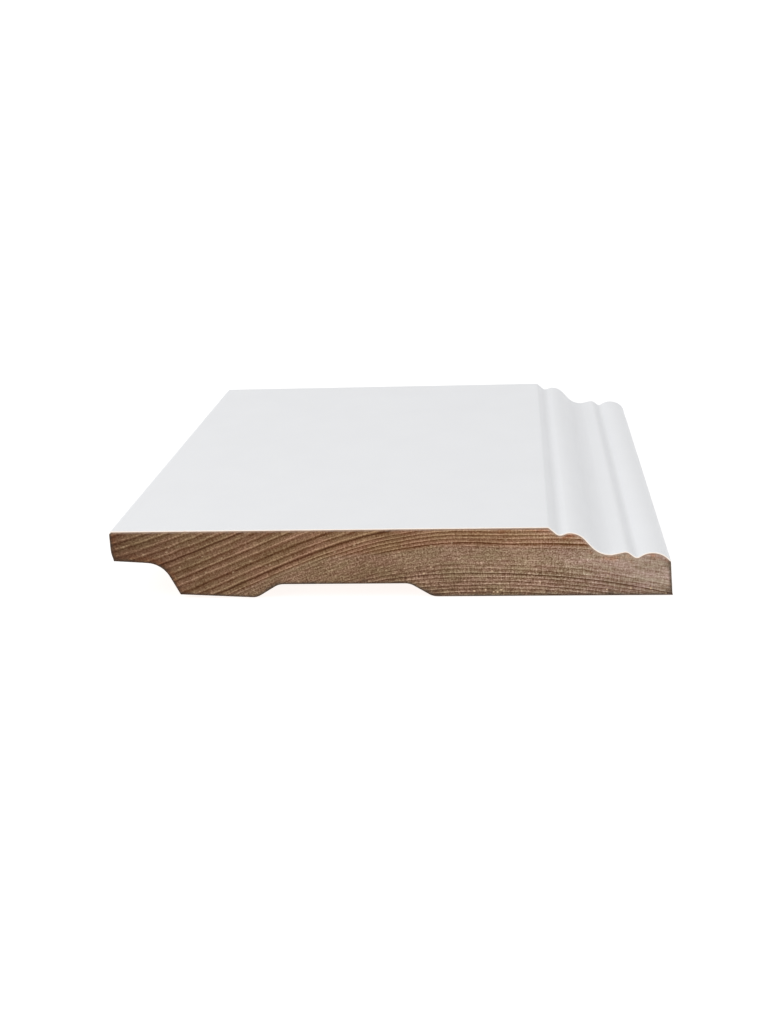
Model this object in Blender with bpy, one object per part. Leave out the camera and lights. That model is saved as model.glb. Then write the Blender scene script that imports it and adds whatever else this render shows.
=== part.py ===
"""A short length of painted softwood skirting board, cut square at both ends and lying on its back.

X runs across the board, from its floor edge to its moulded top edge, Y runs along it, and Z points out of
its painted face. The origin is at the middle of its underside. The board is one piece of wood, so its
section is drawn once, as one closed outline, and run along the length.
"""

import math

import bmesh
import bpy

# Board, in metres
LENGTH = 0.160
WIDTH = 0.140
THICKNESS = 0.018

# Floor edge: the arris at the face is rounded, and the foot of the edge stands back
FLOOR_ARRIS_RADIUS = 0.0009
FLOOR_FOOT_SETBACK = 0.00065
FLOOR_FOOT_HEIGHT = 0.0035

# Rebate under the floor edge
REBATE_WIDTH = 0.01705
REBATE_HEIGHT = 0.0100
REBATE_ROOF_SLOPE = math.radians(3.8)
REBATE_WALL_SLOPE = math.radians(63.5)
REBATE_RADIUS = 0.0066

# Back: a narrow land that thins towards the rebate, a shallow channel, then a wide land up to the top edge
NARROW_LAND_WIDTH = 0.01955
NARROW_LAND_TAPER = 0.00095
CHANNEL_WIDTH = 0.0444
CHANNEL_DEPTH = 0.0035
CHANNEL_SIDE_SLOPE = math.radians(31.5)

# Moulding: each step runs towards the top edge from one level point to the next
STEP_RUN = 0.00325
STEP_DROP = 0.00205
STEP_RADIUS = 0.0011
QUIRK_RADIUS = 0.0014
OVOLO_RUN = 0.00215
OVOLO_RISE = 0.00057
OVOLO_NEAR_RADIUS = 0.0020
OVOLO_RADIUS = 0.0052
CYMA_RUN = 0.0101
CYMA_DROP = 0.00572
HOLLOW_RADIUS = 0.0060
FILLET_RUN = 0.0035
FILLET_RISE = 0.00066
FILLET_RADIUS = 0.0022
SMALL_BEAD_RADIUS = 0.0018
SMALL_BEAD_RUN = 0.00285
SMALL_BEAD_DROP = 0.00146
GROOVE_RADIUS = 0.0010
END_BEAD_RUN = 0.0037
END_BEAD_RISE = 0.00122
END_BEAD_RADIUS = 0.0056
END_BEAD_TURN = math.radians(52.0)

# Top edge: a small nose at the end bead, then a face that leans out towards the wall
NOSE_RADIUS = 0.0007
TOP_EDGE_LEAN = math.radians(3.8)

# Round stretches are drawn with a point for each turn of this size
ARC_STEP = math.radians(7.5)

# The paint covers the face and both long edges: every side whose outward direction is above this
PAINTED_ABOVE = -0.2
PAINT_COLOUR = (0.80, 0.805, 0.815, 1.0)
WOOD_COLOUR = (0.22, 0.135, 0.080, 1.0)
# Welding distance between the outline's caps and its sides
WELD = 0.00001


def arc(centre, radius, start, end):
    """Points on a circle from the angle start to the angle end, both of them included."""
    steps = max(2, math.ceil(abs(end - start) / ARC_STEP))
    angles = [start + (end - start) * i / steps for i in range(steps + 1)]
    return [(centre[0] + radius * math.cos(a), centre[1] + radius * math.sin(a)) for a in angles]


def ogee(start, run, rise, first_radius, second_radius):
    """Points of an S-curve that leaves start level and is level again run further on and rise higher.

    Two arcs turn opposite ways and a straight line touches both. The radii shrink where the
    step is too steep for them.
    """
    height = abs(rise)
    up = math.copysign(1.0, rise)
    fit = min(1.0, (run ** 2 + height ** 2) / (2 * height * (first_radius + second_radius)))
    first = first_radius * fit
    second = second_radius * fit
    between = math.hypot(run, first + second - height)
    turn = math.asin(min(1.0, (first + second) / between)) - math.atan2(first + second - height, run)
    end = (start[0] + run, start[1] + rise)
    steps = max(2, math.ceil(turn / ARC_STEP))
    turns = [turn * i / steps for i in range(steps + 1)]
    leaving = [(start[0] + first * math.sin(t), start[1] + up * first * (1 - math.cos(t))) for t in turns[1:]]
    arriving = [(end[0] - second * math.sin(t), end[1] - up * second * (1 - math.cos(t))) for t in turns[::-1]]
    return leaving + arriving


def moulding():
    """Points of the moulded margin, from the end of the flat face to the foot of the top edge."""
    steps = [
        (STEP_RUN, -STEP_DROP, STEP_RADIUS, QUIRK_RADIUS),
        (OVOLO_RUN, OVOLO_RISE, QUIRK_RADIUS, OVOLO_NEAR_RADIUS),
        (CYMA_RUN, -CYMA_DROP, OVOLO_RADIUS, HOLLOW_RADIUS),
        (FILLET_RUN, FILLET_RISE, FILLET_RADIUS, SMALL_BEAD_RADIUS),
        (SMALL_BEAD_RUN, -SMALL_BEAD_DROP, SMALL_BEAD_RADIUS, GROOVE_RADIUS),
        (END_BEAD_RUN, END_BEAD_RISE, GROOVE_RADIUS, END_BEAD_RADIUS),
    ]
    crest_height = THICKNESS + sum(rise for _, rise, _, _ in steps)
    nose_end = math.pi / 2 - TOP_EDGE_LEAN
    nose_reach = NOSE_RADIUS * (math.sin(nose_end) - math.sin(END_BEAD_TURN))
    nose_drop = NOSE_RADIUS * (math.cos(END_BEAD_TURN) - math.cos(nose_end))
    edge_height = crest_height - END_BEAD_RADIUS * (1 - math.cos(END_BEAD_TURN)) - nose_drop
    edge_x = WIDTH / 2 - edge_height * math.tan(TOP_EDGE_LEAN)
    crest_x = edge_x - nose_reach - END_BEAD_RADIUS * math.sin(END_BEAD_TURN)

    points = [(crest_x - sum(run for run, _, _, _ in steps), THICKNESS)]
    for run, rise, first_radius, second_radius in steps:
        points += ogee(points[-1], run, rise, first_radius, second_radius)
    crest = (crest_x, crest_height)
    bead_centre = (crest[0], crest[1] - END_BEAD_RADIUS)
    points += arc(bead_centre, END_BEAD_RADIUS, math.pi / 2, math.pi / 2 - END_BEAD_TURN)[1:]
    nose_centre = (
        points[-1][0] - NOSE_RADIUS * math.sin(END_BEAD_TURN),
        points[-1][1] - NOSE_RADIUS * math.cos(END_BEAD_TURN),
    )
    points += arc(nose_centre, NOSE_RADIUS, math.pi / 2 - END_BEAD_TURN, TOP_EDGE_LEAN)[1:]
    return points + [(WIDTH / 2, 0.0)]


def back():
    """Points of the underside, from the top edge to the corner where the rebate starts."""
    rebate_x = -WIDTH / 2 + REBATE_WIDTH
    channel_x = rebate_x + NARROW_LAND_WIDTH
    side_run = CHANNEL_DEPTH / math.tan(CHANNEL_SIDE_SLOPE)
    return [
        (channel_x + CHANNEL_WIDTH, 0.0),
        (channel_x + CHANNEL_WIDTH - side_run, CHANNEL_DEPTH),
        (channel_x + side_run, CHANNEL_DEPTH),
        (channel_x, 0.0),
        (rebate_x, NARROW_LAND_TAPER),
    ]


def rebate():
    """Points of the rebate, up its wall, round the hollow and out along its roof to the floor edge."""
    foot = (-WIDTH / 2 + REBATE_WIDTH, NARROW_LAND_TAPER)
    lip = (-WIDTH / 2 + FLOOR_FOOT_SETBACK, REBATE_HEIGHT)
    wall = math.tan(REBATE_WALL_SLOPE)
    roof = math.tan(REBATE_ROOF_SLOPE)
    # The wall's line and the roof's line meet here
    corner_x = (foot[1] + wall * foot[0] - lip[1] - roof * lip[0]) / (wall - roof)
    corner = (corner_x, foot[1] + wall * (foot[0] - corner_x))
    turn = REBATE_WALL_SLOPE - REBATE_ROOF_SLOPE
    shorter_side = min(math.dist(corner, foot), math.dist(corner, lip))
    radius = min(REBATE_RADIUS, 0.95 * shorter_side / math.tan(turn / 2))
    touch = radius * math.tan(turn / 2)
    start = (
        corner[0] + touch * math.cos(REBATE_WALL_SLOPE),
        corner[1] - touch * math.sin(REBATE_WALL_SLOPE),
    )
    centre = (
        start[0] - radius * math.sin(REBATE_WALL_SLOPE),
        start[1] - radius * math.cos(REBATE_WALL_SLOPE),
    )
    return arc(centre, radius, math.pi / 2 - REBATE_WALL_SLOPE, math.pi / 2 - REBATE_ROOF_SLOPE) + [lip]


def floor_edge():
    """Points of the floor edge, from the foot that stands back up to the rounded arris at the face."""
    foot_radius = (FLOOR_FOOT_HEIGHT ** 2 + FLOOR_FOOT_SETBACK ** 2) / (2 * FLOOR_FOOT_SETBACK)
    foot_turn = math.asin(FLOOR_FOOT_HEIGHT / foot_radius)
    foot_centre = (-WIDTH / 2 + foot_radius, REBATE_HEIGHT + FLOOR_FOOT_HEIGHT)
    arris_centre = (-WIDTH / 2 + FLOOR_ARRIS_RADIUS, THICKNESS - FLOOR_ARRIS_RADIUS)
    foot = arc(foot_centre, foot_radius, math.pi + foot_turn, math.pi)[1:]
    return foot + arc(arris_centre, FLOOR_ARRIS_RADIUS, math.pi, math.pi / 2)


def section():
    """The whole outline of the board, clockwise from the floor edge's arris, as (across, up)."""
    return moulding() + back() + rebate() + floor_edge()


def material(name, colour, roughness):
    """A plain Principled material."""
    made = bpy.data.materials.new(name)
    made.use_nodes = True
    shader = made.node_tree.nodes["Principled BSDF"]
    shader.inputs["Base Color"].default_value = colour
    shader.inputs["Roughness"].default_value = roughness
    shader.inputs["Metallic"].default_value = 0.0
    made.diffuse_color = colour
    return made


def outline_curve(name, points, depth):
    """A filled flat outline, as deep as depth, standing with its depth along Y."""
    curve = bpy.data.curves.new(name, "CURVE")
    curve.dimensions = "2D"
    curve.fill_mode = "BOTH"
    curve.extrude = depth / 2
    spline = curve.splines.new("POLY")
    spline.points.add(len(points) - 1)
    for point, (across, up) in zip(spline.points, points):
        point.co = (across, up, 0.0, 1.0)
    spline.use_cyclic_u = True
    made = bpy.data.objects.new(name, curve)
    made.rotation_euler = (math.pi / 2, 0.0, 0.0)
    bpy.context.scene.collection.objects.link(made)
    return made


def solid_from_curve(name, curve_object, collection):
    """The curve as a closed mesh: its caps are welded to its sides, and the curve is removed."""
    bpy.context.view_layer.update()
    graph = bpy.context.evaluated_depsgraph_get()
    mesh = bpy.data.meshes.new_from_object(curve_object.evaluated_get(graph))
    welded = bmesh.new()
    welded.from_mesh(mesh)
    bmesh.ops.remove_doubles(welded, verts=welded.verts, dist=WELD)
    bmesh.ops.recalc_face_normals(welded, faces=welded.faces)
    welded.to_mesh(mesh)
    welded.free()
    mesh.name = name
    made = bpy.data.objects.new(name, mesh)
    made.matrix_world = curve_object.matrix_world
    collection.objects.link(made)
    bpy.data.objects.remove(curve_object)
    return made


def paint_face_and_edges(board, wood, paint):
    """Bare wood on the ends, the back and the rebate, and paint on the face and both long edges."""
    board.data.materials.clear()
    board.data.materials.append(wood)
    board.data.materials.append(paint)
    turned = board.matrix_world.to_3x3()
    for face in board.data.polygons:
        outward = turned @ face.normal
        is_end = abs(outward.y) > 0.5
        face.material_index = 1 if not is_end and outward.z > PAINTED_ABOVE else 0


def build():
    """Makes the board in a collection of its own."""
    for old in list(bpy.data.objects):
        bpy.data.objects.remove(old)
    collection = bpy.data.collections.new("skirting_board")
    bpy.context.scene.collection.children.link(collection)
    curve_object = outline_curve("skirting_section", section(), LENGTH)
    board = solid_from_curve("skirting_board", curve_object, collection)
    wood = material("bare_wood", WOOD_COLOUR, 0.80)
    paint = material("white_paint", PAINT_COLOUR, 0.45)
    paint_face_and_edges(board, wood, paint)
    board.data.shade_smooth()
    board.data.set_sharp_from_angle(angle=math.radians(25))


build()
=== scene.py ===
# %% [markdown]
# # A short length of painted skirting board
#
# A skirting board covers the joint between a wall and a floor. This one is a sample cut from a long
# softwood board: a flat face, a moulded top edge, a rebate under the floor edge and a shallow channel in
# the back. It lies on its back, so the near saw cut shows the growth rings and the painted face lies on
# top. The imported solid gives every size, so the script starts by loading it and keeps its box for the end.

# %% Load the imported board
import math

import bmesh
import bpy
import numpy as np
from mathutils import Matrix, Vector
from mathutils.geometry import delaunay_2d_cdt


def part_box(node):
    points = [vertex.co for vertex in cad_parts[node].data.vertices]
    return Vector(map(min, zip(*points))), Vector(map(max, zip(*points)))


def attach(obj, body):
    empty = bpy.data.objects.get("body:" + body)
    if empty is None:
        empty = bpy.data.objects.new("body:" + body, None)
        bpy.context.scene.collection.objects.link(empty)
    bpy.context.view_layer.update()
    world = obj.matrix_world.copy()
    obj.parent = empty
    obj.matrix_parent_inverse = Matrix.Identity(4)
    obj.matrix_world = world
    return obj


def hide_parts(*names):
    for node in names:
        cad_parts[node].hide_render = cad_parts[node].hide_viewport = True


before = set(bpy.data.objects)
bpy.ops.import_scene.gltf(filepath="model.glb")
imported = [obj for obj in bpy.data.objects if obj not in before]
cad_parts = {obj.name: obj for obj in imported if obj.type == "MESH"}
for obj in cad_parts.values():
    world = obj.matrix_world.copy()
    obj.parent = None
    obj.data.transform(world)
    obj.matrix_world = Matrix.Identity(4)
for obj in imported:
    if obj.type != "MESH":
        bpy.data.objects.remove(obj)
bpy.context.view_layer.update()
BOARD = "skirting_board"
MM = 0.001
low, high = (np.array(corner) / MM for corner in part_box(BOARD))
HALF_LENGTH = high[1]
print("board in mm, across, along and thick:", np.round(high - low, 2))

# %% [markdown]
# ## Camera
#
# The photograph looks down on the near end from a little to the moulded side. A camera can be aimed with
# a constraint at a target, or turned by angles. Three angles are used here, because they are what a
# photographer sets on a tripod: how far it turns, how far it tips down and how far it leans.

# %% Camera
CAMERA_PLACE = Vector((31.8, -413.5, 128.0)) * MM
TURN_LEFT = math.radians(5.42)
TIP_DOWN = math.radians(17.66)
LEAN = math.radians(-2.30)

camera_data = bpy.data.cameras.new("camera")
camera_data.lens = 50.0
camera_data.sensor_width = 36.0
camera_data.clip_start = 0.01
camera_data.clip_end = 50.0
camera = bpy.data.objects.new("camera", camera_data)
turned = Matrix.Rotation(TURN_LEFT, 4, "Z")
tipped = Matrix.Rotation(math.pi / 2 - TIP_DOWN, 4, "X")
leaned = Matrix.Rotation(LEAN, 4, "Z")
camera.matrix_world = Matrix.Translation(CAMERA_PLACE) @ turned @ tipped @ leaned
bpy.context.scene.collection.objects.link(camera)
bpy.context.scene.camera = camera
print("the camera stands", round(camera.location.length, 3), "m from the middle of the underside")

# %% [markdown]
# ## The section
#
# A moulded board is one section pushed along its length, so everything starts from the outline of its end.
# It could be drawn again here with arcs, but then two outlines would have to agree. It is read from the
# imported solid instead: the edges that belong to one face of the near end are its rim. The walk starts at
# the back arris under the moulded edge, climbs over the moulding and the flat face to the lip of the
# rebate, and comes home along the back.

# %% Read the rim of the near end
SAME_POINT = 2e-6


def read_rim(node, y_end):
    """The points round the end at y_end as (x, z) in mm, anticlockwise from the back arris."""
    solid = bmesh.new()
    solid.from_mesh(node.data)
    bmesh.ops.remove_doubles(solid, verts=solid.verts, dist=SAME_POINT)
    end_faces = {face for face in solid.faces if all(abs(v.co.y - y_end) < SAME_POINT for v in face.verts)}
    beside = {}
    for edge in solid.edges:
        if len(end_faces.intersection(edge.link_faces)) == 1:
            first, second = edge.verts
            beside.setdefault(first, []).append(second)
            beside.setdefault(second, []).append(first)
    back_arris = max(beside, key=lambda v: v.co.x - v.co.z)
    walk = [back_arris]
    current = max(beside[back_arris], key=lambda v: v.co.z)
    while current != back_arris:
        ahead = [v for v in beside[current] if v != walk[-1]]
        walk.append(current)
        current = ahead[0]
    points = np.array([(v.co.x, v.co.z) for v in walk]) / MM
    solid.free()
    return points


packed_rim = read_rim(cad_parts[BOARD], -HALF_LENGTH * MM)
print("the packed rim has", len(packed_rim), "points")

# %% [markdown]
# The solid's arcs are short straight steps, which would show as facets in a gloss paint. A subdivision
# surface would round them, but it rounds the crisp corners too. Here each step becomes a cubic curve that
# leaves and arrives along the direction of its neighbours, and a point that turns sharply is kept as a
# corner, with a straight line on each side.

# %% Round the arcs and keep the corners
CORNER_TURN = 20.0
RIM_SPACING = 0.6


def lengths(vectors):
    """The length of each row of an array of vectors."""
    return np.sqrt((vectors**2).sum(axis=-1))


def round_rim(points, spacing):
    """The closed rim as smooth points, and the places in it of the corners."""
    ahead = np.roll(points, -1, axis=0)
    step = ahead - points
    size = lengths(step)
    straight = step / size[:, None]
    through = ahead - np.roll(points, 1, axis=0)
    through = through / lengths(through)[:, None]
    cosine = (np.roll(straight, 1, axis=0) * straight).sum(axis=1)
    is_corner = np.degrees(np.arccos(np.clip(cosine, -1, 1))) > CORNER_TURN
    made = []
    corners = []
    for here in range(len(points)):
        there = (here + 1) % len(points)
        if is_corner[here]:
            corners.append(sum(len(part) for part in made))
        leave = straight[here] if is_corner[here] else through[here]
        arrive = straight[here] if is_corner[there] else through[there]
        count = math.ceil(size[here] / spacing)
        t = np.arange(count)[:, None] / count
        bend = (t**3 - 2 * t**2 + t) * leave + (t**3 - t**2) * arrive
        share = 3 * t**2 - 2 * t**3
        made.append(points[here] * (1 - share) + points[there] * share + bend * size[here])
    return np.concatenate(made), corners


rim, corners = round_rim(packed_rim, RIM_SPACING)
rim = np.clip(rim, low[[0, 2]], high[[0, 2]])
LIP = corners[1]
walked = np.concatenate([[0.0], np.cumsum(lengths(np.diff(rim, axis=0)))])
painted_walk = walked[: LIP + 1]
PAINTED_WAY = walked[LIP]
along_rim = np.roll(rim, -1, axis=0) - np.roll(rim, 1, axis=0)
along_rim = along_rim / lengths(along_rim)[:, None]
outward = np.stack([along_rim[:, 1], -along_rim[:, 0]], axis=1)
print(len(rim), "points,", len(corners), "corners,", round(PAINTED_WAY, 1), "mm painted way round")

# %% [markdown]
# ## Where the paint ends
#
# Paint has a thickness. On the sample it shows as a thin pale line between the white face and the brown
# saw cut. It could be a stripe of colour on the wood, but a separate skin of real thickness gives the same
# line from every side. So the wood is made smaller by the film wherever it is painted, and the skin fills
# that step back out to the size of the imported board. The film is full on whatever faces up and thin on the
# upright edges, which only catch the edge of the spray. It stops a little short of the back arris and of
# the lip of the rebate. The four arrises of the channel are a touch round on the sample, so their points
# are pulled in by their neighbours.

# %% The film of paint
FACE_FILM = 0.27
EDGE_FILM = 0.08
FILM_START = 0.5
SPRAY_FROM = 0.05
SPRAY_RANGE = 0.5
SOFT_ARRIS = (0.1, 0.3, 0.5, 0.3, 0.1)
SOFTENING_ROUNDS = 4


def ease(values):
    """Runs from 0 to 1 with a soft start and a soft stop."""
    held = np.clip(values, 0, 1)
    return held * held * (3 - 2 * held)


def film_under(way):
    """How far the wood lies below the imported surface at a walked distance, in mm."""
    faces_up = np.interp(way, walked, outward[:, 1])
    full = EDGE_FILM + (FACE_FILM - EDGE_FILM) * ease((faces_up - SPRAY_FROM) / SPRAY_RANGE)
    return full * ease(way / FILM_START) * ease((PAINTED_WAY - way) / FILM_START)


wood_inset = np.where(np.arange(len(rim)) <= LIP, film_under(walked), 0.0)
wood_rim = rim - outward * wood_inset[:, None]
softness = np.zeros((len(rim), 1))
for corner in corners[-4:]:
    softness[corner - 2 : corner + 3, 0] = SOFT_ARRIS
for _ in range(SOFTENING_ROUNDS):
    between = (np.roll(wood_rim, 1, axis=0) + np.roll(wood_rim, -1, axis=0)) / 2
    wood_rim = wood_rim + (between - wood_rim) * softness
print("film:", FACE_FILM, "mm; the wood is", round(np.ptp(wood_rim[:, 1]), 2), "mm thick under it")

# %% [markdown]
# ## Growth rings
#
# The photograph shows nearly flat rings: the heart of the tree lies far below the board and to the right.
# A wood texture from a node would give perfect circles. Real rings drift, crowd together and fade, so the
# place of every point in the tree is worked out and kept on the mesh: how far round it lies, how far out,
# and how many rings it is from a chosen one. Two more numbers say how strongly the outer and the innermost
# years are drawn there. Lengthwise the heart wanders a little, which draws the long flames on the back.

# %% The tree around the board
HEART = (38.5, -188.0)
CHOSEN_RING = 205.0
WIDE_RING = 1.70
NARROW_RING = 0.95
LATENESS = 0.24
# Lengthwise, from the near end: the slope of the rings, and a wander that grows
TAPER = 0.016
WANDER = 1.1
WANDER_TURN = 45.0
WANDER_GROWTH = 150.0
# Across the board: the curl at the floor edge, and the bend of the inner rings
CURL = 0.0051
CURL_START = -46.0
BEND = 0.075
BEND_START = -10.0
# Radii in mm, each with the width of its change
BENT_WITHIN = (203.0, 9.5)
LATE_AROUND = (215.5, 4.5)
STRONG_BEYOND = (203.6, 1.3)
INNER_WITHIN = (197.6, 3.6)
# Soft steps across the board, as height, start and width in mm
SWELL = (2.7, -43.0, 45.0)
DIP = (1.7, 10.0, 24.0)
DRAWN_FURTHER_IN = (4.0, -22.0, 27.0)
LOST_AT_THE_EDGE = (6.0, 49.0, 5.0)


def soft_noise(places, spacing, seed):
    """Smooth random values from -1 to 1 along a line, one turn for each spacing."""
    draws = np.random.default_rng(seed).uniform(-1, 1, 4096)
    scaled = np.asarray(places) / spacing + 1000.0
    cell = np.floor(scaled).astype(int)
    return draws[cell] + (draws[cell + 1] - draws[cell]) * ease(scaled - cell)


def soft_step(x, height, start, width):
    """Nothing before start, then a soft rise over width to a height that stays."""
    return height * ease((x - start) / width)


def calm_radius(x, y, z):
    """The distance from the heart, in mm, with the drift of the whole trunk."""
    from_end = y + HALF_LENGTH
    wander = TAPER * from_end + WANDER * ease(from_end / WANDER_GROWTH) * soft_noise(y, WANDER_TURN, 5)
    curl = CURL * np.maximum(0, CURL_START - x) ** 2
    swell = soft_step(x, *SWELL) - soft_step(x, *DIP)
    return np.hypot(x - HEART[0], z - HEART[1]) - curl - swell + wander


def tree_radius(x, y, z):
    """The same distance, with the inner years bent down towards the moulded edge."""
    from_heart = np.hypot(x - HEART[0], z - HEART[1])
    inner_share = np.clip((BENT_WITHIN[0] - from_heart) / BENT_WITHIN[1], 0, 1)
    bend = BEND * np.maximum(0, x - BEND_START) - soft_step(x, *DIP)
    return calm_radius(x, y, z) + bend * inner_share


def ring_count(radius):
    """Rings counted outward from the chosen one: wide years outside it and narrow years inside."""
    outer = np.maximum(radius - CHOSEN_RING, 0) / WIDE_RING
    inner = np.maximum(CHOSEN_RING - radius, 0) / NARROW_RING
    late_years = LATENESS * np.exp(-(((radius - LATE_AROUND[0]) / LATE_AROUND[1]) ** 2))
    return outer - inner - late_years


def strong_years(x, radius):
    """From 0 to 1, how strongly the outer years are drawn: they reach further in on the right."""
    reach = radius + soft_step(x, *DRAWN_FURTHER_IN) - soft_step(x, *LOST_AT_THE_EDGE)
    return soft_step(reach, 1.0, *STRONG_BEYOND)


def keep_number(mesh, name, values):
    """Stores one number for each point of a mesh."""
    stored_values = mesh.attributes.new(name, "FLOAT", "POINT")
    stored_values.data.foreach_set("value", np.asarray(values, dtype=np.float32))


def points_of(mesh):
    """The places of a mesh's points in mm."""
    flat = np.zeros(len(mesh.vertices) * 3)
    mesh.vertices.foreach_get("co", flat)
    return flat.reshape(-1, 3) / MM


def keep_growth(mesh):
    """Stores each point's place in the tree on the mesh, for the materials to read."""
    x, y, z = points_of(mesh).T
    radius = tree_radius(x, y, z)
    around = np.arctan2(x - HEART[0], z - HEART[1]) * -HEART[1]
    growth = mesh.attributes.new("growth", "FLOAT_VECTOR", "POINT")
    growth.data.foreach_set("vector", np.stack([around, calm_radius(x, y, z), y], axis=1).ravel())
    keep_number(mesh, "rings", ring_count(radius))
    keep_number(mesh, "strong_years", strong_years(x, radius))
    keep_number(mesh, "inner_years", ease((INNER_WITHIN[0] - radius) / INNER_WITHIN[1]))


rim_rings = ring_count(tree_radius(rim[:, 0], -HALF_LENGTH, rim[:, 1]))
print("rings across the near saw cut:", round(np.ptp(rim_rings), 1))

# %% [markdown]
# ## The saw cut
#
# The end of the board needs points inside its rim, for two reasons: the rings stand up a little where the
# saw tore the soft early wood, and the numbers stored on the points have to be dense enough to draw them.
# A grid filled between top and bottom would bunch up at the slanting sides. Evenly spaced points joined
# by a Delaunay triangulation follow any outline, so they are used here. Points too near the rim are left
# out first, to avoid thin slivers.

# %% Fill the section with points
CUT_SPACING = 0.37
RIM_CLEARANCE = 0.6
JOIN_WITHIN = 1e-5
POINTS_AT_ONCE = 2000


def measure_to_line(points, line, closed=True):
    """Each point's distance to a line of points, and whether it lies inside the closed line."""
    start = line if closed else line[:-1]
    end = np.roll(line, -1, axis=0) if closed else line[1:]
    way = end - start
    nearest = []
    inside = []
    for first in range(0, len(points), POINTS_AT_ONCE):
        part = points[first : first + POINTS_AT_ONCE, None, :]
        share = np.clip(((part - start) * way).sum(axis=2) / (way**2).sum(axis=1), 0, 1)
        nearest.append(lengths(part - start - share[..., None] * way).min(axis=1))
        spans = (start[:, 1] > part[..., 1]) != (end[:, 1] > part[..., 1])
        rise = np.where(way[:, 1] == 0, 1.0, way[:, 1])
        crossing = start[:, 0] + (part[..., 1] - start[:, 1]) / rise * way[:, 0]
        inside.append((spans & (part[..., 0] < crossing)).sum(axis=1) % 2 == 1)
    return np.concatenate(nearest), np.concatenate(inside)


def fill_section(line, spacing):
    """The rim's points with evenly spaced ones inside it, and the triangles that join them."""
    bottom, top = line.min(axis=0), line.max(axis=0)
    row_height = spacing * math.sqrt(3) / 2
    rows = np.arange(bottom[1], top[1], row_height)
    columns = np.arange(bottom[0], top[0], spacing)
    across, up = np.meshgrid(columns, rows)
    across = across + (np.arange(len(rows)) % 2)[:, None] * spacing / 2
    grid = np.stack([across.ravel(), up.ravel()], axis=1)
    distance, inside = measure_to_line(grid, line)
    points = np.concatenate([line, grid[inside & (distance > RIM_CLEARANCE * spacing)]])
    ring = [(i, (i + 1) % len(line)) for i in range(len(line))]
    inside_only = 1
    made = delaunay_2d_cdt([Vector(p) for p in points], ring, [], inside_only, JOIN_WITHIN)
    triangles = np.array(made[2])
    kept = np.array([tuple(p) for p in made[0]])
    return kept, triangles


cut_points, cut_triangles = fill_section(wood_rim, CUT_SPACING)
print("saw cut:", len(cut_points), "points and", len(cut_triangles), "triangles")

# %% [markdown]
# ## The wood
#
# The board itself is the filled section at both ends with a tube of skin between them. Stations along the
# length are close together near the ends, where the saw left the arris slightly broken, and far apart in
# the middle. The tearing of the early wood is real relief here, a few hundredths of a millimetre, so
# that light catches the rings at a low angle.

# %% Lay out stations along the length
END_STEPS = (0.0, 0.08, 0.2, 0.45, 0.9, 1.7)
MIDDLE_STATIONS = 45
ARRIS_BREAK = 0.05
ARRIS_REACH = 0.2
TEAR_DEPTH = 0.035
TORN_SEASON = 0.25
SMOOTH_WITHIN = 202.0
SMOOTH_RANGE = 4.0
LEAST_TEAR = 0.25
KERF_DEPTH = 0.02
KERF_PITCH = 2.3
KERF_SLANT = 0.35
KERF_WANDER = 17.0


def stations(middle_count):
    """Distances along the board in mm, from one end to the other."""
    near = np.array(END_STEPS) - HALF_LENGTH
    far = -near[::-1]
    middle = np.linspace(near[-1], far[0], middle_count + 2)[1:-1]
    return np.concatenate([near, middle, far])


def saw_relief(x, z, end_y):
    """How far the saw cut lies behind the true end, in mm: torn rings and slanting kerf lines."""
    radius = tree_radius(x, end_y, z)
    rings = ring_count(radius)
    tear = 0.5 + 0.5 * np.cos(2 * math.pi * (rings - TORN_SEASON))
    fine_years = np.clip((radius - SMOOTH_WITHIN) / SMOOTH_RANGE, LEAST_TEAR, 1)
    turn = 2 * math.pi * (x + KERF_SLANT * z) / KERF_PITCH
    kerf = 0.5 + 0.5 * np.sin(turn + 2 * soft_noise(x, KERF_WANDER, 3))
    return TEAR_DEPTH * tear * fine_years + KERF_DEPTH * kerf


def skin_quads(ring_count_around, station_count):
    """Faces of a closed tube whose points run round the rim first and then along the length."""
    around = np.arange(ring_count_around)
    beside = (around + 1) % ring_count_around
    first = (np.arange(station_count - 1) * ring_count_around)[:, None]
    after = first + ring_count_around
    faces = np.stack([first + around, after + around, after + beside, first + beside], axis=2)
    return faces.reshape(-1, 4)


print(len(stations(MIDDLE_STATIONS)), "stations along the wood")

# %% Build the board's wood
END_GRAIN = 0
PLANED_WOOD = 1
SHARP_TURN = CORNER_TURN + 8


def put_in_scene(name, points, faces):
    """Makes an object from points in mm and faces, with smooth shading up to a sharp corner."""
    mesh = bpy.data.meshes.new(name)
    mesh.from_pydata((points * MM).tolist(), [], faces)
    mesh.shade_smooth()
    mesh.set_sharp_from_angle(angle=math.radians(SHARP_TURN))
    thing = bpy.data.objects.new(name, mesh)
    bpy.context.scene.collection.objects.link(thing)
    return thing


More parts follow.
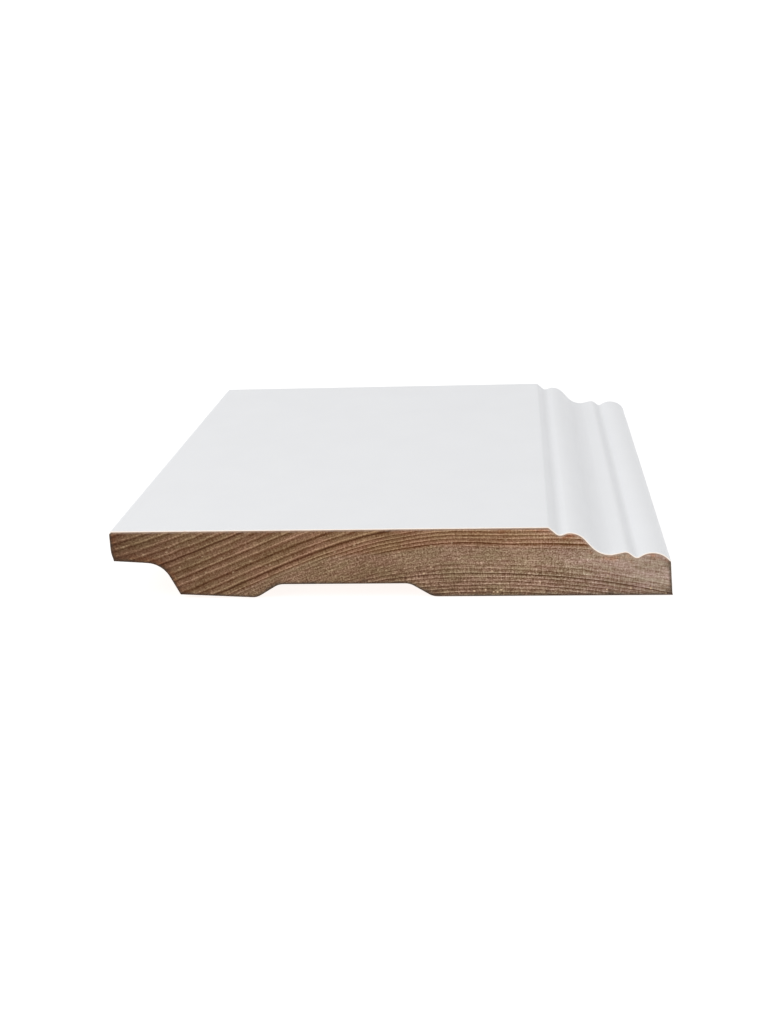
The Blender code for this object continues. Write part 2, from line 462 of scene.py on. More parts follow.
def build_wood():
    """The solid wood, with its two saw cuts and its planed skin."""
    places = stations(MIDDLE_STATIONS)
    count = len(wood_rim)
    from_end = HALF_LENGTH - np.abs(places)
    broken = ARRIS_BREAK * (1 - ease(from_end / ARRIS_REACH))
    skin_xz = wood_rim[None] - outward[None] * broken[:, None, None]
    skin_y = np.repeat(places[:, None], count, axis=1)
    skin = np.stack([skin_xz[..., 0], skin_y, skin_xz[..., 1]], axis=2)
    inner = cut_points[count:]
    near = np.stack([inner[:, 0], -HALF_LENGTH + saw_relief(*inner.T, -HALF_LENGTH), inner[:, 1]], axis=1)
    far = np.stack([inner[:, 0], HALF_LENGTH - saw_relief(*inner.T, HALF_LENGTH), inner[:, 1]], axis=1)
    skin_size = skin.shape[0] * count
    points = np.concatenate([skin.reshape(-1, 3), near, far])
    near_faces = np.where(cut_triangles < count, cut_triangles, cut_triangles - count + skin_size)
    far_start = skin_size + len(inner)
    far_rim = skin_size - count
    far_faces = np.where(cut_triangles < count, cut_triangles + far_rim, cut_triangles - count + far_start)
    quads = skin_quads(count, len(places))
    faces = near_faces.tolist() + far_faces[:, ::-1].tolist() + quads.tolist()
    wood = put_in_scene("board_wood", points, faces)
    cuts = len(near_faces) + len(far_faces)
    kinds = np.full(len(faces), PLANED_WOOD)
    kinds[:cuts] = END_GRAIN
    wood.data.polygons.foreach_set("material_index", kinds.astype(np.int32))
    return wood, cuts


board_wood, cut_face_count = build_wood()
keep_growth(board_wood.data)
print("board_wood:", len(board_wood.data.polygons), "faces")

# %% [markdown]
# The saw cut is drawn darker along the back and the upright edges, a painted shade along its rim, and
# paler just under the painted face. To draw that, a material has to know how far a point is from an edge.
# Ambient occlusion could guess it, but it is slow and it cannot tell one edge from another. The true
# distances are stored on the points instead: one to the part of the rim that faces up under the paint,
# and one to all the rest.

# %% Store the distances to the edges
FAR_AWAY = 9.0
AT_THE_END = 1e-3
UPWARD = 0.3
face_places = np.flatnonzero(outward[: LIP + 1, 1] > UPWARD)
FACE_START, FACE_STOP = face_places[0], face_places[-1]
face_line = wood_rim[FACE_START : FACE_STOP + 1]
dark_line = np.concatenate([wood_rim[FACE_STOP:], wood_rim[: FACE_START + 1]])


def keep_edge_distances(wood):
    """Stores how far each point of the wood is from the face and from the dark rim of a saw cut."""
    points = points_of(wood.data)
    count = len(wood_rim)
    skin_size = len(stations(MIDDLE_STATIONS)) * count
    from_end = HALF_LENGTH - np.abs(points[:, 1])
    on_rim = np.arange(skin_size) % count
    at_end = from_end[:skin_size] < AT_THE_END
    inner = points[skin_size:][:, [0, 2]]
    for name, line, off_the_cut in (
        ("dark_edge", dark_line, from_end[:skin_size]),
        ("face_edge", face_line, FAR_AWAY),
    ):
        on_skin = np.where(at_end, measure_to_line(wood_rim, line, closed=False)[0][on_rim], off_the_cut)
        on_cut = measure_to_line(inner, line, closed=False)[0]
        keep_number(wood.data, name, np.concatenate([on_skin, on_cut]))


keep_edge_distances(board_wood)
print("edge distances are stored on", len(board_wood.data.vertices), "points")

# %% [markdown]
# ## The skin of paint
#
# The paint is a thin closed shell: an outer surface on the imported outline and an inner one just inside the
# wood, joined along the saw cuts and along its two long limits. A Solidify modifier could thicken one
# surface, but the film has to fade out at its limits and to break unevenly where the saw came through, so
# both surfaces are laid out point by point.

# %% Lay out the paint
PAINT_STATIONS = 70
FADE_REACH = 3.0
FADE_THICKNESS = 0.04
FADE_WIDTH = 1.3
SOAK = 0.02
LIMIT_ABOVE_ARRIS = 1.4
LIMIT_ABOVE_LIP = 1.2
LIMIT_WAVE = 0.22
END_SETBACK = 0.03
CHIP_DEPTH = 0.12
CHIP_RARITY = 0.72
ROUGH_EDGE = 0.02


def paint_ways(y):
    """Walked distances across the paint at one station, between its two wavy limits."""
    start = LIMIT_ABOVE_ARRIS + LIMIT_WAVE * (soft_noise(y, 9.0, 21) + 0.5 * soft_noise(y, 2.5, 22))
    stop = LIMIT_ABOVE_LIP + LIMIT_WAVE * (soft_noise(y, 8.0, 23) + 0.5 * soft_noise(y, 2.7, 24))
    ways = painted_walk.copy()
    near = ways < FADE_REACH
    ways[near] = start + ways[near] * (FADE_REACH - start) / FADE_REACH
    left = PAINTED_WAY - painted_walk
    near = left < FADE_REACH
    ways[near] = PAINTED_WAY - stop - left[near] * (FADE_REACH - stop) / FADE_REACH
    return ways


def paint_sheet(y, from_end, chips):
    """The outer and inner points of the paint at one station, as two arrays of (x, y, z)."""
    ways = paint_ways(y)
    place = np.stack([np.interp(ways, painted_walk, rim[: LIP + 1, i]) for i in (0, 1)], axis=1)
    out = np.stack([np.interp(ways, painted_walk, outward[: LIP + 1, i]) for i in (0, 1)], axis=1)
    out = out / lengths(out)[:, None]
    from_limit = np.minimum(ways - ways[0], ways[-1] - ways)
    film = film_under(ways)
    fade = np.maximum(0, film - FADE_THICKNESS) * (1 - ease(from_limit / FADE_WIDTH))
    broken = ARRIS_BREAK * (1 - ease(from_end / ARRIS_REACH))
    outer = place - out * (fade + broken)[:, None]
    inner = place - out * (film + broken + SOAK)[:, None]
    back = (END_SETBACK + chips) * (1 - ease(from_end / END_STEPS[-1])) * -np.sign(y)
    level = np.full(len(ways), y) + back
    return (np.stack([sheet[:, 0], level, sheet[:, 1]], axis=1) for sheet in (outer, inner))


def chips_along(seed):
    """Where the saw broke the film: mostly nothing, with a shallow bite here and there."""
    roughness = 0.6 * soft_noise(painted_walk, 1.9, seed) + 0.4 * soft_noise(painted_walk, 0.7, seed + 1)
    bites = np.maximum(0, np.abs(roughness) - CHIP_RARITY) / (1 - CHIP_RARITY)
    return CHIP_DEPTH * bites + ROUGH_EDGE * (1 + roughness)


def build_paint():
    """The closed skin of paint over the face, the moulding and both long edges."""
    places = stations(PAINT_STATIONS)
    near_chips, far_chips = chips_along(31), chips_along(41)
    sheets = [paint_sheet(y, HALF_LENGTH - abs(y), near_chips if y < 0 else far_chips) for y in places]
    outer, inner = (np.array(side) for side in zip(*sheets))
    count = outer.shape[1]
    loops = np.concatenate([outer, inner[:, ::-1]], axis=1)
    around = loops.shape[1]
    quads = skin_quads(around, len(places)).tolist()
    last = (len(places) - 1) * around
    for i in range(count - 1):
        strip = [i, i + 1, around - 2 - i, around - 1 - i]
        quads.append(strip)
        quads.append([last + p for p in reversed(strip)])
    paint = put_in_scene("paint_coat", loops.reshape(-1, 3), quads)
    from_cut = np.repeat(HALF_LENGTH - np.abs(places), around)
    keep_number(paint.data, "cut_edge", from_cut)
    return paint


paint_coat = build_paint()
keep_growth(paint_coat.data)
print("paint_coat:", len(paint_coat.data.polygons), "faces")

# %% [markdown]
# ## Effects shared by the finishes
#
# The growth rings show on the saw cut, on the planed back and faintly through the paint. Streaks, specks
# and worn edges also come back in more than one finish. Each could be copied into every material, but a
# node group is built once and placed in each with its own values. Sizes in these groups are millimetres,
# because the place in the tree is stored in millimetres.

# %% Helpers for node trees
def srgb(red, green, blue):
    """A colour as picked from a screen, 0 to 255, as the linear colour that a shader takes."""
    shares = np.array([red, green, blue]) / 255
    linear = np.where(shares <= 0.04045, shares / 12.92, ((shares + 0.055) / 1.055) ** 2.4)
    return (*linear.tolist(), 1.0)


def fill(tree, node, inputs):
    """Fills a node's inputs with plain values or with links from other sockets."""
    for name, value in inputs.items():
        if isinstance(value, bpy.types.NodeSocket):
            tree.links.new(value, node.inputs[name])
        else:
            node.inputs[name].default_value = value


def add(tree, kind, inputs=None, **settings):
    """Adds a node with its settings, and fills its inputs."""
    made = tree.nodes.new(kind)
    for name, value in settings.items():
        setattr(made, name, value)
    fill(tree, made, inputs or {})
    return made


def maths(tree, operation, *terms):
    """One step of arithmetic, as the socket that holds its answer."""
    return add(tree, "ShaderNodeMath", dict(enumerate(terms)), operation=operation).outputs[0]


def times(tree, first, second):
    """The product of two values."""
    return maths(tree, "MULTIPLY", first, second)


def fit(tree, value, from_low, from_high, to_low=0.0, to_high=1.0):
    """Carries a value from one range to another, smoothly and without leaving it."""
    ranges = {"From Min": from_low, "From Max": from_high, "To Min": to_low, "To Max": to_high}
    made = add(tree, "ShaderNodeMapRange", {"Value": value, **ranges}, interpolation_type="SMOOTHSTEP")
    return made.outputs["Result"]


def blend(tree, share, first, second, mode="MIX"):
    """Mixes two colours by a share from 0 to 1. Sockets 0, 6 and 7 take the share and the colours."""
    made = add(tree, "ShaderNodeMix", {0: share, 6: first, 7: second}, data_type="RGBA", blend_type=mode)
    return made.outputs[2]


def ramp(tree, value, stops, interpolation="LINEAR"):
    """A colour ramp through stops of (place, colour)."""
    made = add(tree, "ShaderNodeValToRGB", {"Fac": value})
    made.color_ramp.interpolation = interpolation
    while len(made.color_ramp.elements) < len(stops):
        made.color_ramp.elements.new(1.0)
    for element, (place, colour) in zip(made.color_ramp.elements, stops):
        element.position = place
        element.color = colour
    return made.outputs["Color"]


def new_group(name, inputs, outputs):
    """An empty node group as its tree, its input node and its output node, with named sockets."""
    tree = bpy.data.node_groups.new(name, "ShaderNodeTree")
    for label, value in inputs.items():
        kind = "NodeSocketVector" if isinstance(value, tuple) else "NodeSocketFloat"
        made = tree.interface.new_socket(name=label, in_out="INPUT", socket_type=kind)
        made.default_value = value
    for label in outputs:
        tree.interface.new_socket(name=label, in_out="OUTPUT", socket_type="NodeSocketFloat")
    return tree, tree.nodes.new("NodeGroupInput"), tree.nodes.new("NodeGroupOutput")


def use_group(tree, group, inputs):
    """Places a node group in a tree with its own values."""
    return add(tree, "ShaderNodeGroup", inputs, node_tree=group)


def squeeze(tree, place, size):
    """A place counted in steps of a size, which differs in each direction."""
    return add(tree, "ShaderNodeVectorMath", {0: place, 1: size}, operation="DIVIDE").outputs[0]


print("helpers for node trees are ready")

# %% [markdown]
# The first group makes streaks: a noise squeezed by its own size in each direction. Long thin values give
# fibres, short fat ones give mottling, and even ones give the paint its spray texture.

# %% Group: streaks
def make_streaks():
    """Noise with a size in mm round the tree, outward and along the board."""
    tree, given, result = new_group("streaks", {"Place": (0, 0, 0), "Size": (1, 1, 1)}, ["Value"])
    squeezed = squeeze(tree, given.outputs["Place"], given.outputs["Size"])
    noise = add(
        tree, "ShaderNodeTexNoise", {"Vector": squeezed, "Scale": 1.0, "Detail": 2.0, "Roughness": 0.6}
    )
    fill(tree, result, {"Value": maths(tree, "SUBTRACT", noise.outputs["Fac"], 0.5)})
    return tree


def streaks_in(tree, place, size):
    """Streaks of a size, in mm round the tree, outward and lengthwise."""
    return use_group(tree, STREAKS, {"Place": place, "Size": size}).outputs["Value"]


STREAKS = make_streaks()
print("group:", STREAKS.name)

# %% [markdown]
# The second group draws the rings. Going outward through one year, a softwood runs from pale early wood
# to darker late wood, ends in a thin dark line and starts again with an abrupt pale one. A wave would be
# symmetric and look wrong, so a colour ramp holds that uneven profile. Each ring also gets its own
# strength, because no two summers are alike, and a few hard years get a dark line of their own.

# %% Group: growth rings
RING_PROFILE = ((0.00, 0.98), (0.05, 0.84), (0.12, 0.60), (0.30, 0.55), (0.50, 0.46), (0.61, 0.36),
                (0.69, 0.08), (0.76, 0.30), (0.83, 0.52), (0.92, 0.66), (1.00, 0.98))
HARD_YEARS = (7.75, 2.85, 0.65, -4.35, -11.3)
HARD_YEAR_WIDTH = 0.28


def make_growth_rings():
    """A tone from -0.5, dark late wood, to 0.5, pale early wood, and a mask of the hard years."""
    tree, given, result = new_group(
        "growth_rings",
        {"Rings": 0.0, "Place": (0, 0, 0), "Wobble": 0.1, "Unevenness": 0.5},
        ["Tone", "Hard"],
    )
    place = given.outputs["Place"]
    slow = streaks_in(tree, place, (6.0, 2.5, 40.0))
    quick = streaks_in(tree, place, (1.4, 0.8, 12.0))
    both = maths(tree, "MULTIPLY_ADD", quick, 0.35, slow)
    counted = maths(tree, "MULTIPLY_ADD", both, given.outputs["Wobble"], given.outputs["Rings"])
    year = maths(tree, "FLOOR", counted)
    season = maths(tree, "SUBTRACT", counted, year)
    profile = ramp(tree, season, [(at, (tone, tone, tone, 1)) for at, tone in RING_PROFILE], "EASE")
    draw = add(tree, "ShaderNodeTexWhiteNoise", {"W": year}, noise_dimensions="1D").outputs["Value"]
    weaker = times(tree, draw, given.outputs["Unevenness"])
    strength = maths(tree, "SUBTRACT", 1.0, weaker)
    tone = times(tree, maths(tree, "SUBTRACT", profile, 0.5), strength)
    hard = 0.0
    for hard_year in HARD_YEARS:
        away = maths(tree, "ABSOLUTE", maths(tree, "SUBTRACT", counted, hard_year))
        hard = maths(tree, "MAXIMUM", hard, fit(tree, away, HARD_YEAR_WIDTH, 0.0))
    fill(tree, result, {"Tone": tone, "Hard": hard})
    return tree


GROWTH_RINGS = make_growth_rings()
print("group:", GROWTH_RINGS.name)

# %% [markdown]
# The third group scatters specks: cut resin canals and dust on the saw cut, short dark dashes on the
# planed back and small nibs under the paint. A Voronoi texture gives one point in each cell, and a random
# share of the cells stays empty. The fourth group marks a band beside an edge from a stored distance, with
# noise to break its line; it draws worn and burnished edges, and the painted shade along the rims.

# %% Groups: specks and edge band
def make_specks():
    """A mask of small scattered spots."""
    inputs = {"Place": (0, 0, 0), "Spacing": (1, 1, 1), "Share": 0.2, "Spot": 0.3}
    tree, given, result = new_group("specks", inputs, ["Mask"])
    squeezed = squeeze(tree, given.outputs["Place"], given.outputs["Spacing"])
    cells = add(tree, "ShaderNodeTexVoronoi", {"Vector": squeezed, "Scale": 1.0})
    draw = add(tree, "ShaderNodeSeparateColor", {"Color": cells.outputs["Color"]}).outputs["Red"]
    chosen = maths(tree, "LESS_THAN", draw, given.outputs["Share"])
    half = times(tree, given.outputs["Spot"], 0.5)
    spot = fit(tree, cells.outputs["Distance"], given.outputs["Spot"], half)
    fill(tree, result, {"Mask": times(tree, chosen, spot)})
    return tree


def make_edge_band():
    """A mask that is 1 at an edge and fades out over a width in mm, with a broken line."""
    inputs = {"Distance": 0.0, "Width": 0.2, "Place": (0, 0, 0)}
    tree, given, result = new_group("edge_band", inputs, ["Mask"])
    ragged = streaks_in(tree, given.outputs["Place"], (0.8, 0.8, 0.8))
    width = given.outputs["Width"]
    shifted = maths(tree, "MULTIPLY_ADD", ragged, width, given.outputs["Distance"])
    fill(tree, result, {"Mask": fit(tree, shifted, width, 0.0)})
    return tree


SPECKS = make_specks()
EDGE_BAND = make_edge_band()
print("groups:", SPECKS.name, "and", EDGE_BAND.name)

# %% [markdown]
# ## Saw-cut end grain
#
# The cut end is brown, darker and browner at the floor edge and greyer and paler at the moulding. The
# change from brown to grey is the wood's own; the darkening at the floor edge and the brightening at the
# moulding are partly painted shade and painted light, multiplied in after the ramp. The outer years on the
# left are strongly lined, the middle ones faint, and the innermost ones look dotted, because fine rays
# cross the rings. The tone is built up as one number first: rings, rays, dashes and mottling are added,
# and only then does a ramp turn it into colour. That keeps every mark inside the few browns that the wood
# really has.

# %% Material: end grain
OUTER_BROWNS = ((0.00, srgb(74, 39, 15)), (0.30, srgb(104, 67, 40)), (0.52, srgb(125, 93, 70)),
                (0.75, srgb(155, 121, 95)), (1.00, srgb(194, 158, 132)))
INNER_BROWNS = ((0.00, srgb(76, 50, 32)), (0.30, srgb(108, 80, 59)), (0.52, srgb(136, 110, 89)),
                (0.75, srgb(164, 138, 116)), (1.00, srgb(204, 178, 156)))
# A factor across the board: the drift to grey is the wood's own, the dark floor edge and the bright moulding
# edge are partly painted shade and painted light.
TONE_AND_SHADE_ACROSS = ((0.0, (0.54, 0.54, 0.48, 1)), (0.16, (0.79, 0.82, 0.80, 1)), (0.5, (0.94, 0.93, 0.88, 1)),
                (0.75, (1.17, 1.20, 1.22, 1)), (0.95, (1.29, 1.45, 1.74, 1)))
OLIVE_TINT = (0.96, 1.00, 0.91, 1)
ROSE_TINT = (1.05, 0.98, 1.02, 1)
SPECK_COLOUR = srgb(206, 178, 146)
# Painted shade: the near-black line along the rim of the saw cut and the dark patches beside it.
RIM_SHADE_COLOUR = srgb(62, 51, 41)
UNDER_PAINT_COLOUR = srgb(168, 146, 130)
ORANGE_TINT = srgb(255, 205, 165)
WOOD_RELIEF = 0.00006


def new_material(name, rough, specular):
    """A material with a Principled shader, as its tree and that shader."""
    material = bpy.data.materials.new(name)
    material.use_nodes = True
    tree = material.node_tree
    shader = tree.nodes["Principled BSDF"]
    fill(tree, shader, {"Roughness": rough, "Specular IOR Level": specular})
    return material, tree, shader


def stored(tree, name, output="Fac"):
    """A number or a place that is stored on the mesh."""
    return add(tree, "ShaderNodeAttribute", attribute_name=name).outputs[output]


def add_up(tree, first, *more):
    """The sum of a socket and of (socket, strength) pairs."""
    total = first
    for value, strength in more:
        total = maths(tree, "MULTIPLY_ADD", value, strength, total)
    return total


def rings_in(tree, place, wobble, unevenness):
    """The growth rings' group, fed with the number of rings stored on the mesh."""
    inputs = {"Rings": stored(tree, "rings"), "Place": place, "Wobble": wobble, "Unevenness": unevenness}
    return use_group(tree, GROWTH_RINGS, inputs).outputs


def specks_in(tree, place, spacing, share, spot):
    """Scattered spots, with their spacing in mm and the spot as a share of it."""
    inputs = {"Place": place, "Spacing": spacing, "Share": share, "Spot": spot}
    return use_group(tree, SPECKS, inputs).outputs["Mask"]


def band_in(tree, place, distance, width):
    """A band of a width in mm beside an edge, for wear and for painted shade."""
    inputs = {"Distance": distance, "Width": width, "Place": place}
    return use_group(tree, EDGE_BAND, inputs).outputs["Mask"]


def dress(tree, shader, colour, height, strength, relief):
    """Feeds a colour and a bump into a shader, with the bump's relief in metres."""
    bump = add(tree, "ShaderNodeBump", {"Strength": strength, "Distance": relief, "Height": height})
    fill(tree, shader, {"Base Color": colour, "Normal": bump.outputs["Normal"]})


def make_end_grain():
    """The saw cut's brown with its rings, rays and dots, with painted shade along its rim and across it."""
    material, tree, shader = new_material("end_grain", 0.85, 0.2)
    place = stored(tree, "growth", "Vector")
    on_board = add(tree, "ShaderNodeTexCoord").outputs["Object"]
    across = add(tree, "ShaderNodeSeparateXYZ", {"Vector": on_board}).outputs["X"]
    rings = rings_in(tree, place, 0.28, 0.55)
    outer_years = stored(tree, "strong_years")
    inner_years = stored(tree, "inner_years")
    inner_lines = times(tree, inner_years, fit(tree, across, 0.046, 0.062, 0.78, 0.36))
    strength = add_up(tree, 0.32, (outer_years, 0.64), (inner_lines, 1.0))
    inner_hard = times(tree, inner_years, fit(tree, across, 0.010, 0.036, 0.06, 0.30))
    hard = times(tree, rings["Hard"], add_up(tree, inner_hard, (outer_years, 0.32)))
    rays = streaks_in(tree, place, (0.42, 2.4, 8.0))
    ray_strength = add_up(tree, 0.50, (inner_years, 0.30))
    dashes = streaks_in(tree, place, (2.3, 0.30, 8.0))
    dash_strength = add_up(tree, 0.82, (outer_years, -0.27), (inner_years, 0.02))
    mottling = streaks_in(tree, place, (0.40, 0.40, 8.0))
    calm_end = fit(tree, across, 0.042, 0.062)
    mottle_strength = add_up(tree, 1.50, (outer_years, -0.40), (inner_years, -0.20), (calm_end, -0.70))
    clouds = streaks_in(tree, place, (9.0, 5.0, 30.0))
    tone = add_up(
        tree,
        maths(tree, "MULTIPLY_ADD", rings["Tone"], strength, 0.52),
        (hard, -1.0),
        (inner_years, -0.13),
        (times(tree, rays, ray_strength), 1.0),
        (times(tree, dashes, dash_strength), 1.0),
        (times(tree, mottling, mottle_strength), 1.0),
        (clouds, 0.42),
    )
    outer = ramp(tree, tone, OUTER_BROWNS)
    inner = ramp(tree, tone, INNER_BROWNS)
    left_share = fit(tree, across, -0.025, 0.015, 0.5, 0.0)
    brown_share = maths(tree, "MAXIMUM", outer_years, left_share)
    colour = blend(tree, brown_share, inner, outer)
    # Multiplied in across the board: partly the wood's drift to grey, partly painted shade and painted
    # light.
    share = maths(tree, "MULTIPLY_ADD", across, 1 / (high[0] - low[0]) / MM, 0.5)
    colour = blend(tree, 1.0, colour, ramp(tree, share, TONE_AND_SHADE_ACROSS), "MULTIPLY")
    hue = fit(tree, streaks_in(tree, place, (8.0, 3.2, 8.0)), -0.17, 0.17)
    colour = blend(tree, 1.0, colour, blend(tree, hue, OLIVE_TINT, ROSE_TINT), "MULTIPLY")
    from_face = stored(tree, "face_edge")
    near_face = band_in(tree, place, from_face, 2.2)
    patches = fit(tree, streaks_in(tree, place, (3.5, 2.0, 8.0)), -0.06, 0.16)
    reach = times(tree, fit(tree, across, 0.010, 0.044, 0.15, 0.75), patches)
    burnished = times(tree, near_face, reach)
    from_rim = stored(tree, "dark_edge")
    near_rim = band_in(tree, place, from_rim, 2.4)
    by_rebate = times(tree, near_rim, fit(tree, across, -0.049, -0.056, 0.0, 0.6))
    burnished = maths(tree, "MAXIMUM", burnished, by_rebate)
    colour = blend(tree, burnished, colour, ORANGE_TINT, "MULTIPLY")
    # Painted shade: dark patches beside the rim, along the back and up into the rebate.
    shade_patches = fit(tree, streaks_in(tree, place, (5.0, 4.0, 8.0)), 0.0, 0.16, 0.0, 0.45)
    colour = blend(tree, times(tree, near_rim, shade_patches), colour, RIM_SHADE_COLOUR)
    light_specks = specks_in(tree, place, (0.95, 0.8, 3.0), 0.06, 0.36)
    speck_strength = add_up(tree, 0.35, (inner_years, 0.60))
    light_specks = times(tree, light_specks, speck_strength)
    colour = blend(tree, light_specks, colour, SPECK_COLOUR)
    skin_strength = times(tree, band_in(tree, place, from_face, 0.7), 0.75)
    colour = blend(tree, skin_strength, colour, UNDER_PAINT_COLOUR)
    # Painted shade: a dark line along the back and the upright edges of the saw cut.
    rim_shade_strength = times(tree, band_in(tree, place, from_rim, 1.0), 0.85)
    colour = blend(tree, rim_shade_strength, colour, RIM_SHADE_COLOUR)
    dress(tree, shader, colour, tone, 0.35, WOOD_RELIEF)
    return material


end_grain = make_end_grain()
print("material:", end_grain.name, "with", len(end_grain.node_tree.nodes), "nodes")

# %% [markdown]
# ## Planed wood
#
# The back, the channel and the rebate were planed by rotating knives and never painted. Cut along the
# fibres, wood is paler than its end grain, and the rings turn into long lines and flames. The knives leave
# faint ripples across the board. They are far too shallow to model, so they are left to bump.

# %% Material: planed wood
PLANED_BROWNS = ((0.00, srgb(132, 88, 58)), (0.35, srgb(170, 126, 90)), (0.60, srgb(192, 152, 116)),
                 (1.00, srgb(214, 180, 146)))
DASH_COLOUR = srgb(120, 78, 50)
KNIFE_PITCH = 1.6


def make_planed_wood():
    """Pale planed softwood with long rings, fibres, resin dashes and knife ripples."""
    material, tree, shader = new_material("planed_wood", 0.62, 0.35)
    place = stored(tree, "growth", "Vector")
    along = add(tree, "ShaderNodeSeparateXYZ", {"Vector": place}).outputs["Z"]
    rings = rings_in(tree, place, 0.35, 0.5)
    fibres = streaks_in(tree, place, (0.30, 0.30, 14.0))
    bands = streaks_in(tree, place, (3.0, 2.0, 60.0))
    clouds = streaks_in(tree, place, (14.0, 9.0, 45.0))
    tone = add_up(
        tree,
        maths(tree, "MULTIPLY_ADD", rings["Tone"], 0.62, 0.55),
        (rings["Hard"], -0.20),
        (fibres, 0.42),
        (bands, 0.30),
        (clouds, 0.30),
    )
    colour = ramp(tree, tone, PLANED_BROWNS)
    dashes = specks_in(tree, place, (1.6, 1.6, 9.0), 0.16, 0.26)
    colour = blend(tree, times(tree, dashes, 0.5), colour, DASH_COLOUR)
    # Painted shade: the dark rim of the saw cut runs on round its arris onto the skin.
    rim_shade = band_in(tree, place, stored(tree, "dark_edge"), 0.5)
    rim_shade_strength = times(tree, rim_shade, 0.6)
    colour = blend(tree, rim_shade_strength, colour, DASH_COLOUR)
    fill(tree, shader, {"Roughness": fit(tree, tone, 0.2, 0.8, 0.68, 0.54)})
    ripple = maths(tree, "SINE", times(tree, along, 2 * math.pi / KNIFE_PITCH))
    height = add_up(tree, tone, (ripple, 0.12), (fibres, 0.5))
    dress(tree, shader, colour, height, 0.4, WOOD_RELIEF)
    return material


planed_wood = make_planed_wood()
print("material:", planed_wood.name, "with", len(planed_wood.node_tree.nodes), "nodes")

# %% [markdown]
# ## White paint
#
# The face is sprayed in a satin white that leans a little to blue. Looked at closely it is not flat: the
# fibres swell under the first coat and stay as faint lines, the spray dries with a soft texture, and there
# are small nibs. All of that is relief rather than colour, so it goes into bump and roughness. At the saw
# cut the broken film shows its warmer inside.

# %% Material: white paint
PAINT_COLOUR = srgb(241, 242, 244)
PAINT_SHADE = srgb(239, 240, 242)
BROKEN_FILM = srgb(250, 241, 232)
BROKEN_WIDTH = 0.10
PAINT_RELIEF = 0.00003


def make_white_paint():
    """Satin white with grain showing through, spray texture, nibs and a warm broken edge."""
    material, tree, shader = new_material("white_paint", 0.45, 0.4)
    place = stored(tree, "growth", "Vector")
    rings = rings_in(tree, place, 0.35, 0.6)["Tone"]
    fibres = streaks_in(tree, place, (0.35, 0.6, 18.0))
    spray = streaks_in(tree, place, (0.9, 0.9, 0.9))
    clouds = streaks_in(tree, place, (12.0, 12.0, 18.0))
    nibs = specks_in(tree, place, (5.0, 5.0, 5.0), 0.12, 0.05)
    mottled = fit(tree, add_up(tree, clouds, (spray, 0.4)), -0.35, 0.35)
    colour = blend(tree, mottled, PAINT_SHADE, PAINT_COLOUR)
    broken = band_in(tree, place, stored(tree, "cut_edge"), BROKEN_WIDTH)
    colour = blend(tree, broken, colour, BROKEN_FILM)
    fill(tree, shader, {"Roughness": fit(tree, spray, -0.3, 0.3, 0.40, 0.50)})
    height = add_up(tree, times(tree, rings, 0.35), (fibres, 0.5), (spray, 0.7), (nibs, 1.5))
    dress(tree, shader, colour, height, 0.25, PAINT_RELIEF)
    return material


white_paint = make_white_paint()
for material in (end_grain, planed_wood):
    board_wood.data.materials.append(material)
paint_coat.data.materials.append(white_paint)
print("material:", white_paint.name, "with", len(white_paint.node_tree.nodes), "nodes")

# %% [markdown]
# ## Flat layout of the surfaces
#
# When the finishes are later baked to a picture, each piece gets one square of it. An automatic layout
# would give the hidden wood under the paint as much room as the saw cuts, which hold the finest marks. So
# the layout is given: two wide strips for the saw cuts, then the bare skin, and a narrow band for
# what the paint hides.

# %% Lay the pieces out flat
MARGIN = 0.01
CUT_STRIP = 0.13
HIDDEN_BAND = 0.08
INNER_BAND = 0.12


def spread(values, start, stop):
    """Carries values from their own range to a range in the layout."""
    return start + (values - values.min()) / np.ptp(values) * (stop - start)


def corner_points(mesh):
    """The point at each corner of each face, in the order of the layout."""
    owners = np.zeros(len(mesh.loops), dtype=np.int32)
    mesh.loops.foreach_get("vertex_index", owners)
    return owners


def keep_layout(mesh, places):
    """Stores the layout under the name that the bake looks for."""
    layout = mesh.uv_layers.new(name="OFBake")
    layout.data.foreach_set("uv", np.asarray(places, dtype=np.float32).ravel())


def lay_out_wood(wood, cut_faces):
    """Saw cuts as strips at the top, bare skin below them, and the hidden skin in a narrow band."""
    owners = corner_points(wood.data)
    points = points_of(wood.data)
    per_cut = cut_faces // 2 * 3
    places = np.zeros((len(owners), 2))
    for first, top in ((0, 1 - MARGIN), (per_cut, 1 - MARGIN * 2 - CUT_STRIP)):
        here = slice(first, first + per_cut)
        x, _, z = points[owners[here]].T
        places[here] = np.stack([spread(x, MARGIN, 1 - MARGIN), spread(z, top - CUT_STRIP, top)], axis=1)
    count = len(wood_rim)
    skin = owners[per_cut * 2 :].reshape(-1, 4)
    round_rim_place = skin[:, 0] % count
    step = np.array([0, 0, 1, 1])
    way = np.concatenate([walked, [walked[-1] + lengths(rim[-1] - rim[0])]])
    hidden = round_rim_place < LIP
    skin_top = 1 - MARGIN * 4 - CUT_STRIP * 2
    hidden_top = MARGIN + HIDDEN_BAND
    distance = way[np.minimum(round_rim_place[:, None] + step, len(way) - 1)]
    share = (distance - PAINTED_WAY) / (way[-1] - PAINTED_WAY)
    bare_v = hidden_top + MARGIN + share * (skin_top - hidden_top - MARGIN)
    hidden_v = MARGIN + distance / PAINTED_WAY * (hidden_top - MARGIN)
    v = np.where(hidden[:, None], hidden_v, bare_v)
    u = spread(points[skin][..., 1], MARGIN, 1 - MARGIN)
    places[per_cut * 2 :] = np.stack([u.ravel(), v.ravel()], axis=1)
    keep_layout(wood.data, places)


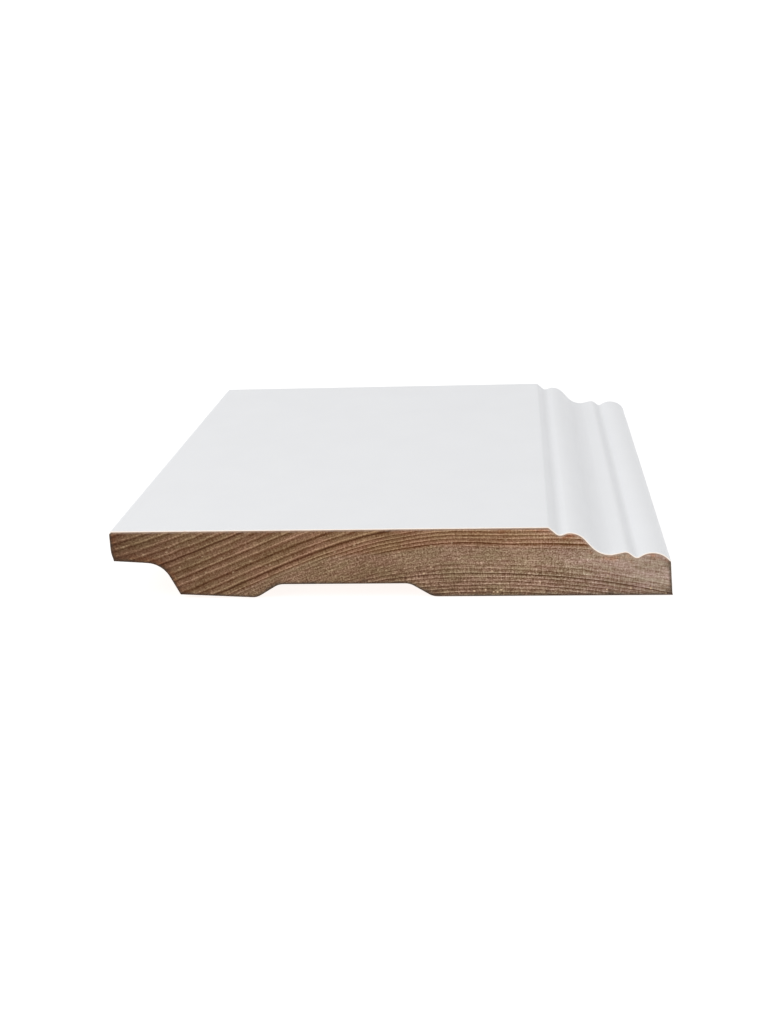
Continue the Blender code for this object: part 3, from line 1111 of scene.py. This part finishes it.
def lay_out_paint(paint):
    """The outer face over most of the square, the inner face and the cut edges in a band below."""
    owners = corner_points(paint.data)
    points = points_of(paint.data)
    outer_count = LIP + 1
    around = outer_count * 2
    column = owners % around
    is_outer = column < outer_count
    way = np.where(is_outer, walked[np.minimum(column, LIP)], walked[np.clip(around - 1 - column, 0, LIP)])
    u = spread(points[owners][:, 1], MARGIN, 1 - MARGIN)
    wholly_outer = np.repeat(is_outer.reshape(-1, 4).all(axis=1), 4)
    v = np.where(
        wholly_outer,
        spread(way, INNER_BAND + MARGIN, 1 - MARGIN),
        spread(way, MARGIN, INNER_BAND * 0.7) + np.where(is_outer, INNER_BAND * 0.2, 0.0),
    )
    keep_layout(paint.data, np.stack([u, v], axis=1))


lay_out_wood(board_wood, cut_face_count)
lay_out_paint(paint_coat)
print("layouts are stored on both pieces")

# %% [markdown]
# ## Joining the board
#
# Both pieces stand for the one imported node and ride with it.

# %% Ride on the imported board
for piece, slot in ((board_wood, "bare_wood"), (paint_coat, "white_paint")):
    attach(piece, "root")
    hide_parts(BOARD)
print("both pieces ride on the packed board")

# %% [markdown]
# ## Floor and light
#
# The photograph is a cut-out on white. A white world alone would leave the board floating, so it lies on a
# pale floor that glows a little, which keeps the shadow under the board faint. The dome gives the even
# light of a packshot, and one large soft lamp at the left draws the moulding: slopes that face right turn
# a shade greyer.

# %% Floor, dome and lamp
WHITE = (1, 1, 1, 1)
FLOOR_SIZE = 8.0
FLOOR_GAP = 0.0002
FLOOR_GREY = (0.30, 0.30, 0.30, 1)
FLOOR_GLOW = 0.84
DOME_STRENGTH = 0.79
DOME_AS_SEEN = 1.1
LAMP_DIRECTION = Vector((-0.68, -0.42, 0.60))
LAMP_DISTANCE = 1.0
LAMP_SIZE = 0.7
LAMP_POWER = 2.4


def make_floor():
    """A plain pale floor just under the board."""
    bpy.ops.mesh.primitive_plane_add(size=FLOOR_SIZE, location=(0, 0, low[2] * MM - FLOOR_GAP))
    floor = bpy.context.active_object
    floor.name = "floor"
    material, tree, shader = new_material("pale_floor", 0.9, 0.0)
    fill(tree, shader, {"Base Color": FLOOR_GREY, "Emission Color": WHITE, "Emission Strength": FLOOR_GLOW})
    floor.data.materials.append(material)


def make_dome():
    """An even white dome, which looks fully white behind the board."""
    world = bpy.data.worlds.new("dome")
    world.use_nodes = True
    bpy.context.scene.world = world
    tree = world.node_tree
    seen = add(tree, "ShaderNodeLightPath").outputs["Is Camera Ray"]
    strength = fit(tree, seen, 0.0, 1.0, DOME_STRENGTH, DOME_AS_SEEN)
    fill(tree, tree.nodes["Background"], {"Color": WHITE, "Strength": strength})


def make_lamp():
    """One large soft lamp, up on the left."""
    data = bpy.data.lights.new("soft_lamp", "AREA")
    data.shape = "DISK"
    data.size = LAMP_SIZE
    data.energy = LAMP_POWER
    lamp = bpy.data.objects.new("soft_lamp", data)
    lamp.location = LAMP_DIRECTION.normalized() * LAMP_DISTANCE
    lamp.rotation_mode = "QUATERNION"
    lamp.rotation_quaternion = (-LAMP_DIRECTION).to_track_quat("-Z", "Y")
    bpy.context.scene.collection.objects.link(lamp)


make_floor()
make_dome()
make_lamp()
view = bpy.context.scene.view_settings
view.view_transform = "Standard"
view.look = "None"
view.exposure = 0.0
view.gamma = 1.0
print("floor, dome and lamp are in place")
